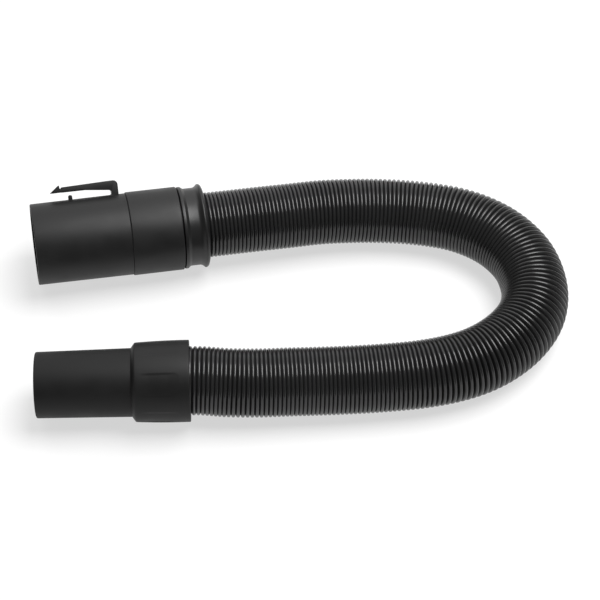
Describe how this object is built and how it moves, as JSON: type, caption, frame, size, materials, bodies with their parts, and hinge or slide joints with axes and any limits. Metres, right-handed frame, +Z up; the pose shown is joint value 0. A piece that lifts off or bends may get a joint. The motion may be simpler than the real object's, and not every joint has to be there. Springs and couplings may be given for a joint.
{
  "type": "vacuum hose",
  "caption": "Ribbed black vacuum hose laid in a U, with a snap-latch swivel plug at the machine end and a tapered tool end in a soft collar.",
  "frame": {"origin": "middle of the laid-out hose's footprint, on the floor it lies on", "axes": "+X from the two fittings towards the bend, +Y from the tool end towards the machine end, +Z up from the floor"},
  "size_m": [0.3005, 0.166, 0.0517],
  "materials": {
    "plug_plastic": "satin black moulding",
    "collar_plastic": "satin black moulding",
    "gasket_rubber": "matte rubber",
    "neck_plastic": "satin black moulding",
    "hose_vinyl": "semi-gloss black vinyl",
    "tool_plastic": "satin black moulding",
    "sleeve_vinyl": "soft satin vinyl"
  },
  "bodies": {
    "hose": {"hose_tube": "hose_vinyl", "swivel_neck": "neck_plastic", "tool_tube": "tool_plastic", "tool_collar": "sleeve_vinyl"},
    "machine_cuff": {"plug_tube": "plug_plastic", "swivel_collar": "collar_plastic", "swivel_gasket": "gasket_rubber"},
    "latch": {"latch_arm": "plug_plastic"}
  },
  "joints": [
    {"name": "cuff_swivel", "type": "hinge", "parent": "hose", "child": "machine_cuff", "pos_m": [-0.0771, 0.04368, 0.0248], "axis": [0.981, 0.1899, -0.0406], "continuous": true},
    {"name": "latch_press", "type": "hinge", "parent": "machine_cuff", "child": "latch", "pos_m": [-0.10483, 0.05915, 0.04521], "axis": [0.1598, -0.6702, 0.7248], "range_deg": [0, 3.7], "stiffness_Nm_per_rad": 2.3}
  ]
}
